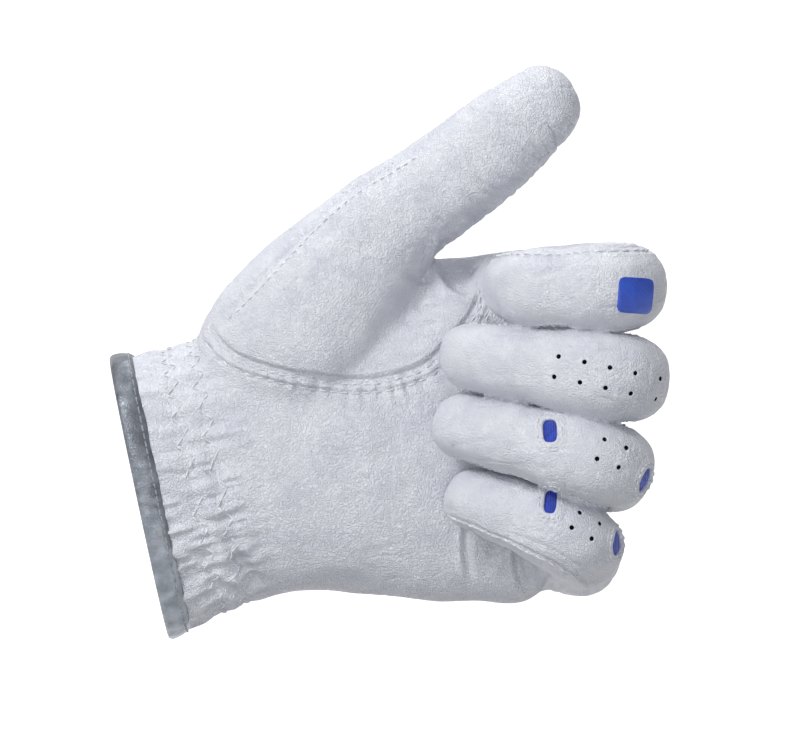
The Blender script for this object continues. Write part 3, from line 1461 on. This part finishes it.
    def zones(self) -> dict[str, np.ndarray]:
        """Which faces each piece of leather gets."""
        skin = self.skin
        centres = skin.verts[skin.quads].mean(1)
        owner = self.owners[skin.quads[:, 0]]
        back = centres[:, 1] > 0
        past = (centres - THUMB_DIVIDE[0]) @ THUMB_DIVIDE[1] > 0
        hand, thumb = owner == Limb.HAND, owner == Limb.THUMB
        out = {"palm": hand & ~back, "back": hand & back, "thumb_root": thumb & ~past,
               "thumb_end": thumb & past}
        for k, form in enumerate(FINGERS):
            mine = owner == Limb.INDEX + k
            first, second = DIVIDES[form.name]
            past = (centres - form.corners[0]) @ form.ahead(form.bends[0]) > first
            past |= self.distal[skin.quads[:, 0]]
            later = (centres - form.corners[1]) @ form.ahead(form.bends[1]) > second
            out[form.name + "_root"] = mine & ~past
            out[form.name + "_knuckle"] = mine & past & ~later
            out[form.name + "_end"] = mine & past & later
        return out

    def pieces(self, finish: bpy.types.Material) -> dict[str, bpy.types.Object]:
        """The leather's separate pieces, whose edges meet."""
        skin = self.skin
        normals = skin.normals()
        made = {}
        self.zone_of_face = np.full(len(skin.faces), "", dtype=object)
        for name, mine in self.zones().items():
            self.zone_of_face[mine] = name
            rows = np.flatnonzero(mine & ~self.gone)
            used, index = np.unique(skin.quads[rows], return_inverse=True)
            index = index.reshape(-1, 4)
            faces = [tuple(dict.fromkeys(row)) for row in index.tolist()]
            piece = make("leather_" + name, skin.verts[used], faces, [finish])
            piece.data.normals_split_custom_set_from_vertices(normals[used].tolist())
            made[name] = piece
        return made

    def zone_near(self, point: np.ndarray) -> str:
        """The name of the piece of leather nearest to a place."""
        _, _, face, _ = self.surface.tree.find_nearest(Vector(point))
        return self.zone_of_face[face]


@dataclass
class Slit:
    """The opening in the back of the wrist."""

    high: float = 46.0
    half_w: float = 1.7
    # where the slit's middle lies across the wrist
    middle: float = 1.0

    def beside(self, points: np.ndarray) -> tuple[np.ndarray, np.ndarray]:
        """How far along the hand points are, and how far beside the slit's middle."""
        return points @ CUFF_AHEAD, points @ CUFF_ACROSS - self.middle

    def half(self, along: np.ndarray) -> np.ndarray:
        """Half the slit's width at distances from the cuff."""
        return self.half_w * np.clip((self.high - along) / self.high, 0, 1) ** 0.7

    def rim(self, surface: Surface) -> np.ndarray:
        """Places along the slit's two edges, up one side and down the other."""
        along = np.append(np.linspace(3.5, self.high - 0.6, 60), self.high)
        rows = [(s, self.half(s)) for s in along] + [(s, -self.half(s)) for s in along[-2::-1]]
        out = []
        for s, beside in rows:
            x, _, z = CUFF_AHEAD * s + CUFF_ACROSS * (beside + self.middle)
            out.append(surface.hit(np.array([x, FAR, z]), -BACKWARD)[0])
        return np.array(out)

    def cut(self, skin: Skin) -> np.ndarray:
        """Move the skin's points onto the slit's edges, and mark the faces inside it."""
        along, beside = self.beside(skin.verts)
        half = self.half(along)
        near = (skin.verts[:, 1] > 5) & (along < self.high) & (np.abs(np.abs(beside) - half) < 0.27)
        move = np.sign(beside) * half - beside
        skin.verts[near] += move[near][:, None] * CUFF_ACROSS
        centres = skin.verts[skin.quads].mean(1)
        along, beside = self.beside(centres)
        return (centres[:, 1] > 5) & (along < self.high) & (np.abs(beside) < self.half(along))


# ---- cuff, opening and small parts


def tube(name: str, points: np.ndarray, radius: float, finish: bpy.types.Material,
         columns: int = 10) -> bpy.types.Object:
    """A round cord along points, closed at its ends."""
    ahead = unit(np.gradient(points, axis=0))
    side = unit(np.cross(ahead[0], [0.31, 0.9, 0.12]))
    verts = []
    for point, d in zip(points, ahead):
        side = unit(side - d * (side @ d))
        other = np.cross(d, side)
        turns = np.arange(columns) * math.tau / columns
        verts += [point + radius * (math.cos(a) * side + math.sin(a) * other) for a in turns]
    last = (len(points) - 1) * columns
    faces = grid_faces(len(points), columns, True) + [tuple(range(columns))[::-1],
                                                      tuple(range(last, last + columns))]
    return make(name, np.array(verts), faces, [finish])


@dataclass
class Cuff:
    """The bound edge of the glove, its lining and the elastic inside it."""

    hand: HandForm
    surface: Surface
    columns: int = 420
    # distance from the cuff and lift from the leather, from the inside round the edge to the outside
    profile: tuple = ((2.6, -1.25), (1.2, -1.4), (0.0, -1.35), (-0.9, -1.0), (-1.35, -0.35), (-1.2, 0.35),
                      (-0.6, 0.85),
                      (0.4, 1.1), (1.5, 1.15), (2.6, 1.05), (3.5, 0.85), (4.1, 0.55), (4.45, 0.15),
                      (4.4, -0.35))
    noise: Noise = field(default_factory=lambda: Noise(5))

    def _edge(self) -> tuple[np.ndarray, np.ndarray, np.ndarray]:
        """The leather's edge all round, its slope along the hand, and the outward directions."""
        turns = np.arange(self.columns) * math.tau / self.columns
        out = np.cos(turns)[:, None] * CUFF_ACROSS + np.sin(turns)[:, None] * BACKWARD
        rows = []
        for s in (0.8, 4.2):
            radii = []
            for aim in out:
                found = self.surface.hit(CUFF_AHEAD * s, aim)
                radii.append(np.linalg.norm(found[0] - CUFF_AHEAD * s) if found else radii[-1])
            width = 9
            ring = np.concatenate([radii[-width:], radii, radii[:width]])
            rows.append(np.convolve(ring, np.ones(2 * width + 1) / (2 * width + 1), "valid"))
        return out, rows[0], (rows[1] - rows[0]) / 3.4

    def place(self, s: np.ndarray, lift: np.ndarray) -> np.ndarray:
        """Places round the cuff at a distance and a lift for each column."""
        out, radius, slope = self.edge
        return CUFF_AHEAD * np.asarray(s).reshape(-1, 1) + out * (radius + slope * (s - 0.8) + lift)[:, None]

    def binding(self, finish: bpy.types.Material) -> bpy.types.Object:
        """The metallic strip folded over the edge, with small creases across it."""
        self.edge = self._edge()
        around = np.arange(self.columns) * math.tau * 28 / self.columns
        rings = []
        for s, lift in through(np.array(self.profile), 44):
            outer = smooth(lift, -0.2, 0.8)
            spots = np.column_stack([around, np.full(self.columns, s * 0.6), np.zeros(self.columns)])
            crease = 0.1 * self.noise.at(spots, (1.5, 3, 1)) + 0.05 * self.noise.at(spots + 9, (0.8, 2, 1))
            wave = 0.3 * self.noise.at(spots * [1, 0, 0] + 3, (6, 1, 1)) * smooth(s, 2, 4.4)
            rings.append(self.place(np.full(self.columns, s) + wave, lift + outer * crease))
        faces = [f[::-1] for f in grid_faces(len(rings), self.columns, True, True)]
        piece = make("cuff_binding_roll", np.vstack(rings), faces, [finish])
        return piece

    def binding_stitches(self, step: int = 5) -> list[np.ndarray]:
        """Lines of thread along the strip's inner edge."""
        lines = []
        lifts = np.array([0.75, 0.98, 1.04, 0.98, 0.75])
        rings = [self.place(np.full(self.columns, 3.3), np.full(self.columns, lift)) for lift in lifts]
        for k in range(0, self.columns, step):
            spots = [rings[j][(k + int(round(j * 0.85))) % self.columns] for j in range(5)]
            lines.append(np.array(spots))
        return lines

    def lining(self, finish: bpy.types.Material) -> bpy.types.Object:
        """The suede inside of the leather, closed where the hand's hollow goes on."""
        turns = np.arange(120) * 3.0
        rings = [self.hand.place(np.full(120, s), turns, -1.15 - 1.25 * smooth(s, 2, 8))
                 for s in np.arange(1.0, 60, 2.0)]
        last = rings[-1]
        middle = last.mean(0)
        rings += [middle + (last - middle) * k + CUFF_AHEAD * 5 * (1 - k * k) for k in (0.85, 0.6, 0.3)]
        verts = np.vstack(rings + [middle + CUFF_AHEAD * 5])
        faces = grid_faces(len(rings), 120, True)
        start = (len(rings) - 1) * 120
        faces += [(start + k, start + (k + 1) % 120, len(verts) - 1) for k in range(120)]
        piece = make("cuff_lining", verts, faces, [finish])
        face_out(piece, -CUFF_AHEAD)
        return piece


@dataclass(frozen=True)
class Pad:
    """A flat part that follows the wrist: where it lies, how thick it is and how round its corners are."""

    name: str
    turns: tuple[float, float]
    reach: tuple[float, float]
    lifts: tuple[float, float]
    power: float = 7.0
    crown: float = 0.0

    def place(self, hand: HandForm, k: np.ndarray, turn: np.ndarray, lift: np.ndarray) -> np.ndarray:
        """Places at k of the way from the middle to the edge."""
        c, s = np.cos(turn), np.sin(turn)
        out = (np.abs(c) ** self.power + np.abs(s) ** self.power) ** (-1 / self.power)
        t = np.mean(self.turns) + k * c * out * (self.turns[1] - self.turns[0]) / 2
        d = np.mean(self.reach) + k * s * out * (self.reach[1] - self.reach[0]) / 2
        return hand.place(d, t, lift)

    def piece(self, hand: HandForm, finish: bpy.types.Material, columns: int = 160) -> bpy.types.Object:
        """Make the part as a closed solid with rounded edges."""
        low, high = self.lifts
        thick = high - low
        turn = np.arange(columns) * math.tau / columns
        steps = [(k, high + self.crown * (1 - k * k)) for k in (0.08, 0.3, 0.5, 0.68, 0.82, 0.9, 0.95)]
        edge = ((0.98, 0.9), (0.995, 0.72), (1.0, 0.5), (0.995, 0.24), (0.98, 0.06), (0.93, 0), (0.7, 0),
                (0.4, 0), (0.08, 0))
        steps += [(k, low + part * thick) for k, part in edge]
        rings = [self.place(hand, np.full(columns, k), turn, np.full(columns, lift)) for k, lift in steps]
        verts = np.vstack(rings + [rings[0].mean(0), rings[-1].mean(0)])
        faces = grid_faces(len(rings), columns, True)
        top, bottom, start = len(verts) - 2, len(verts) - 1, (len(rings) - 1) * columns
        faces += [(top, (k + 1) % columns, k) for k in range(columns)]
        faces += [(start + k, start + (k + 1) % columns, bottom) for k in range(columns)]
        return solid_out(make(self.name, verts, faces, [finish]))

    def covers(self, hand: HandForm, point: np.ndarray) -> bool:
        """Whether a place is under the part."""
        if point[1] < 3:
            return False
        path = self.place(hand, np.full(60, 1.0), np.linspace(0, math.tau, 60), np.zeros(60))
        inside = (path[:, [0, 2]].min(0) < point[[0, 2]]) & (point[[0, 2]] < path[:, [0, 2]].max(0))
        return bool(inside.all())

    def border(self, hand: HandForm, inside: float = 0.9, pitch: float = 0.075) -> list[np.ndarray]:
        """Lines of thread sewn round the part, a little inside its edge."""
        high = self.lifts[1] + self.crown * (1 - inside**2)
        lines = []
        # evenly spaced stitches along the straight sides as well as round the corners
        turn = np.linspace(0, math.tau, 2000)
        path = self.place(hand, np.full(2000, inside), turn, np.full(2000, high))
        run = run_along(path)
        for start in np.arange(0, run[-1] - 1, pitch * 32):
            at = np.interp(np.linspace(start, start + pitch * 23, 5), run, turn)
            lines.append(self.place(hand, np.full(5, inside), at, high + STITCH_LIFTS))
        return lines


TAB = Pad("closing_tab_strap", (63, 126), (7, 34), (2.1, 3.4), 6.0, 0.25)
ANCHOR = Pad("tab_anchor_end", (53.6, 60.6), (6.6, 34.4), (0.1, 3.35), 9.0, 0.1)
LOOP = Pad("loop_pile_patch", (99, 117), (9, 32), (-0.4, 1.0), 8.0)
HOOKS = Pad("hook_tape_patch", (99, 117), (9, 32), (1.25, 2.2), 8.0)
GUSSET = Pad("slit_gusset_knit", (72, 108), (6.0, 49), (-0.95, -0.55), 8.0)


@dataclass
class AirHoles:
    """Punched holes: a soft rim on the leather and a short dark wall."""

    surface: Surface
    radius: float = 0.55
    columns: int = 20
    # radius times this, and lift
    rings: tuple = ((2.5, 0.015), (2.1, 0.04), (1.5, 0.05), (1.14, 0.03), (1.0, -0.06), (0.95, -0.3),
                    (0.92, -1.0), (0.3, -1.05))

    def piece(self, name: str, places: list[tuple[float, float]], finishes: list) -> bpy.types.Object:
        """Make several holes as one piece."""
        verts, faces, worn = [], [], []
        for x, z in places:
            spot, normal = self.surface.hit(np.array([x, -FAR, z]), BACKWARD)
            across = unit(np.cross(normal, [0.3, 0.2, 0.9]))
            up = np.cross(normal, across)
            start = len(verts)
            for k, (size, lift) in enumerate(self.rings):
                for a in np.arange(self.columns) * math.tau / self.columns:
                    p = spot + self.radius * size * (across * math.cos(a) + up * math.sin(a))
                    if lift > 0:
                        found = self.surface.hit(p + normal * 2, -normal)
                        p = found[0] if found else p
                    verts.append(p + normal * lift)
            new = grid_faces(len(self.rings), self.columns, True)
            last = (len(self.rings) - 1) * self.columns
            new.append(tuple(range(last, last + self.columns)))
            faces += [tuple(start + k for k in f) for f in new]
            worn += [0 if k < 4 * self.columns else 1 for k in range(len(new))]
        piece = make(name, np.array(verts), faces, finishes, worn)
        face_out(piece, -BACKWARD)
        return piece


# ---- the studio


@dataclass(frozen=True)
class Studio:
    """A white sweep, soft lights and the camera."""

    look_x: float = 58.6
    look_z: float = 29.3
    away: float = 2400.0
    # width of the view, and how far in front of the joints' plane it is measured
    view_w: float = 183.7
    view_y: float = 15.0
    floor_z: float = -62.0

    def camera(self) -> None:
        """Set the camera level with the middle of the glove, in front of the palm."""
        data = bpy.data.cameras.new("camera")
        data.sensor_width = 36.0
        data.lens = data.sensor_width * (self.away - self.view_y) / self.view_w
        data.clip_end = 20
        camera = bpy.data.objects.new("camera", data)
        camera.location = (self.look_x * MM, -self.away * MM, self.look_z * MM)
        camera.rotation_euler = (math.pi / 2, 0, 0)
        bpy.context.scene.collection.objects.link(camera)
        bpy.context.scene.camera = camera

    def lights(self) -> None:
        """Soft panels above, at the left and in front, and an even white surround."""
        # name, place and size in millimetres, power in watts
        panels = (("key", (-330, -560, 520), 260, 3.4), ("fill", (60, -800, -220), 520, 6.6),
                  ("top", (60, 160, 620), 320, 1.3))
        for name, place, size, power in panels:
            data = bpy.data.lights.new(name, "AREA")
            data.shape, data.size, data.energy = "DISK", size * MM, power
            light = bpy.data.objects.new(name, data)
            light.location = Vector(place) * MM
            aim = Vector((self.look_x, 0, self.look_z)) * MM - light.location
            light.rotation_euler = aim.to_track_quat("-Z", "Y").to_euler()
            bpy.context.scene.collection.objects.link(light)
        world = bpy.data.worlds.new("surround")
        world.use_nodes = True
        tree = world.node_tree
        # brighter above and at the left than below, as under a large soft box
        away = add(tree, "ShaderNodeTexCoord").outputs["Generated"]
        slope = add(tree, "ShaderNodeVectorMath", {0: away, 1: (-0.4, -0.3, 0.86)},
                    operation="DOT_PRODUCT").outputs["Value"]
        strength = add(tree, "ShaderNodeMapRange",
                       {"Value": slope, "From Min": -1.0, "From Max": 1.0, "To Min": 0.2,
                                                    "To Max": 0.62}).outputs[0]
        background = tree.nodes["Background"]
        background.inputs["Color"].default_value = linear("#FAFBFF")
        tree.links.new(strength, background.inputs["Strength"])
        bpy.context.scene.world = world

    def sweep(self) -> None:
        """A pale floor that runs up behind the glove."""
        reach, bend, top = 6.0, 0.6, 5.0
        turns = np.radians(range(10, 91, 10))
        profile = [(-reach, 0), (reach, 0)]
        profile += [(reach + bend * math.sin(a), bend - bend * math.cos(a)) for a in turns]
        profile.append((reach + bend, top))
        verts = [(x, y, z + self.floor_z * MM) for y, z in profile for x in (-reach, reach)]
        faces = [(2 * k, 2 * k + 1, 2 * k + 3, 2 * k + 2) for k in range(len(profile) - 1)]
        floor = make("floor", np.array(verts) / MM, faces, [self._paper()])
        floor.visible_diffuse = False

    def _paper(self) -> bpy.types.Material:
        """Matt white background paper."""
        paper = bpy.data.materials.new("matt_background_paper")
        paper.use_nodes = True
        shader = paper.node_tree.nodes["Principled BSDF"]
        shader.inputs["Base Color"].default_value = linear("#FBFBFB")
        shader.inputs["Roughness"].default_value = 0.95
        # the sweep is lit from behind, as a light table is
        shader.inputs["Emission Color"].default_value = linear("#FFFFFF")
        shader.inputs["Emission Strength"].default_value = 0.8
        return paper


def metres(point: np.ndarray) -> tuple[float, ...]:
    """A place in metres, for the frame."""
    return tuple(float(v) * MM for v in point)


def hang(piece: bpy.types.Object, zone: str) -> None:
    """Blend or ride a piece on the bodies that its stretch of leather crosses."""
    if zone in ("palm", "back"):
        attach(piece, "hand")
        return
    limb, part = zone.rsplit("_", 1)
    if limb == "thumb":
        bend = THUMB_BENDS[part == "end"]
        bodies = ("thumb_lower", "thumb_tip") if part == "end" else ("hand", "thumb_lower")
    else:
        form = next(f for f in FINGERS if f.name == limb)
        number = ("root", "knuckle", "end").index(part)
        bend = finger_bends(form)[number]
        chain = ("hand", limb + "_lower", limb + "_middle", limb + "_tip")
        bodies = chain[number:number + 2]
    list(bodies)
    metres(bend.start)
    metres(bend.end)
    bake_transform(piece)


def elastic_band(hand: HandForm, finish: bpy.types.Material) -> bpy.types.Object:
    """The rib elastic inside the wrist, from one side of the opening round to the other."""
    columns = 150
    turns = np.linspace(118, 413, columns)
    outline = [(9.3, -2.55), (21.2, -2.55), (21.5, -2.9), (21.2, -3.3), (9.3, -3.3), (9.0, -2.9)]
    rows = [hand.place(np.full(columns, s), turns, lift) for s, lift in outline]
    verts = np.array(rows).transpose(1, 0, 2).reshape(-1, 3)
    count = len(outline)
    faces = grid_faces(columns, count, True)
    faces += [tuple(range(count))[::-1], tuple(range((columns - 1) * count, columns * count))]
    return solid_out(make("wrist_elastic_rib", verts, faces, [finish]))


def sewing(leather: Leather, cuff: Cuff, thread: bpy.types.Material, grey: bpy.types.Material) -> None:
    """Sew every seam, and hang each stretch of thread with its leather.

    Args:
        leather: the finished leather.
        cuff: the bound edge.
        thread: white thread.
        grey: the binding's thread.
    """
    white = Seamstress(leather.surface, thread)
    for beside in (-1.7, -3.7):
        white.row(THUMB_SEAM, beside, 1.0, 2.5)
    white.row(TOP_SEAM, -0.9, 0.5, 1.0, 2.1)
    white.row(WEB_STRIP, 0.0, 0.0, 0.0, 1.9)
    white.row(WEB_STRIP, 2.2, 0.0, 0.0, 1.9)
    for row in leather.gathers.rows:
        zigzag = leather.gathers.zigzag(leather.hand, row)
        white.sew([line for line in zigzag if not TAB.covers(leather.hand, line[0])])
    for form in FINGERS:
        look = FingerLook(form)
        root, _, _, tip = look.joints_at()
        for side in form.seams:
            white.sew(look.seam(side, root + 8, tip + 1, 1.9))
    for window in WINDOWS:
        white.lines += window.stitches(leather.surface)
    by_zone: dict[str, list] = {}
    for line in white.lines:
        by_zone.setdefault(leather.zone_near(line[2]), []).append(line)
    tree = white.tree()
    for zone, lines in by_zone.items():
        piece = white.finish("thread_" + zone, lines, tree)
        hang(piece, zone)
    tab_thread = white.finish("thread_tab", TAB.border(leather.hand), tree)
    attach(tab_thread, "tab")
    silver = Seamstress(leather.surface, grey, 0.2)
    cuff_thread = silver.finish("thread_cuff", cuff.binding_stitches(), silver.tree())
    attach(cuff_thread, "hand")


def main() -> None:
    """Build the glove, piece by piece."""
    logging.basicConfig(level=logging.INFO, format="%(name)s: %(message)s")
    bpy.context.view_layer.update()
    bpy.context.scene.view_settings.view_transform = "Standard"
    studio = Studio()
    studio.camera()
    studio.lights()
    studio.sweep()
    leather = Leather()
    leather.shape()
    surface = leather.surface
    leather.open_up()
    skin_finish = SHEEPSKIN.material()
    for zone, piece in leather.pieces(skin_finish).items():
        hang(piece, zone)
        limb, _, part = zone.rpartition("_")
        if zone in PIECES:
            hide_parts(*PIECES[zone])
        else:
            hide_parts(*[limb + "_" + node for node in FINGER_PIECES[part]])
    hand = leather.hand
    cuff = Cuff(hand, surface)
    binding = cuff.binding(SILVER.material())
    lining = cuff.lining(SUEDE.material())
    thread, grey = THREAD.material(), GREY_THREAD.material()
    fixed = ((binding, "binding", ("cuff_binding",)), (lining, "leather", ()),
             (elastic_band(hand, ELASTIC.material()), "elastic", ("wrist_elastic",)),
             (GUSSET.piece(hand, GUSSET_KNIT.material()), "gusset_knit", ("slit_gusset",)),
             (LOOP.piece(hand, LOOP_PILE.material()), "loop", ("loop_patch",)),
             (ANCHOR.piece(hand, skin_finish), "leather", ("tab_anchor",)),
             (tube("slit_rolled_edge", Slit().rim(surface), 0.6, skin_finish), "leather", ()))
    moving = ((TAB.piece(hand, skin_finish), "leather", ("closing_tab",)),
              (HOOKS.piece(hand, HOOK_TAPE.material()), "hook", ("hook_patch",)))
    for body, group in (("hand", fixed), ("tab", moving)):
        for piece, slot, nodes in group:
            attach(piece, body)
            if nodes:
                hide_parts(*nodes)
    knit = BLUE_KNIT.material()
    for window in WINDOWS:
        zone = leather.zone_near(surface.near(np.array(window.centre))[0])
        cloth = window.sheet(surface, window.name + "_cloth", CLOTH_LIFTS, knit)
        rim = window.sheet(surface, window.name + "_rim", RIM_LIFTS, skin_finish)
        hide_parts(window.name)
        for piece, slot in ((cloth, "stretch"), (rim, "leather")):
            hang(piece, zone)
    badge = BADGE.sheet(surface, "index_badge_print", BADGE_LIFTS, BLUE_PRINT.material())
    hang(badge, leather.zone_near(surface.near(np.array(BADGE.centre))[0]))
    holes: dict[str, list] = {}
    for x, z in leather.hole_places():
        zone = leather.zone_near(surface.from_front(np.array([[x, z]]))[0])
        holes.setdefault(zone, []).append((x, z))
    hole_wall = HOLE.material()
    for zone, places in holes.items():
        piece = AirHoles(surface).piece("air_holes_" + zone, places, [skin_finish, hole_wall])
        hang(piece, zone)
    sewing(leather, cuff, thread, grey)


if __name__ == "__main__":
    main()
